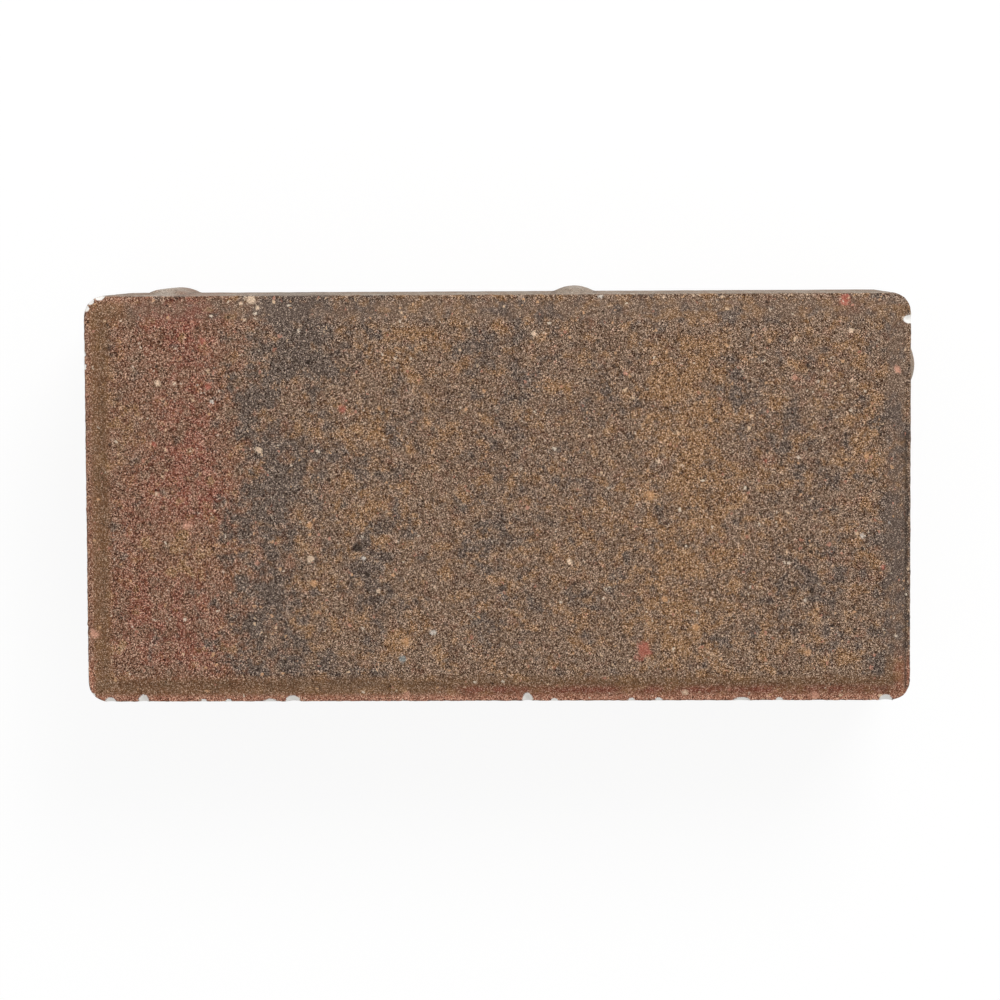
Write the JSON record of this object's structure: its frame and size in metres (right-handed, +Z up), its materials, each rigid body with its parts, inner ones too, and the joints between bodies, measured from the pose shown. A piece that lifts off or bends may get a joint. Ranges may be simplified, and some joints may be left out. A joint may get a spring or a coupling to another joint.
{
  "type": "concrete paving stone",
  "caption": "Rectangular pressed concrete paving stone with a bevelled wearing face and tapered spacer lugs on two neighbouring walls.",
  "frame": {"origin": "centre of the bed face, halfway between the plain walls and the walls with lugs, the lugs themselves not counted", "axes": "+X along the stone's length towards the end wall with a lug, +Y towards the long wall with lugs, +Z up from the bed face to the wearing face"},
  "size_m": [0.1994, 0.0994, 0.06],
  "materials": {
    "concrete": "pressed sandy concrete, unpolished, through-coloured brown, red-brown and charcoal"
  },
  "bodies": {
    "root": {"paving_stone": "concrete"}
  },
  "joints": []
}
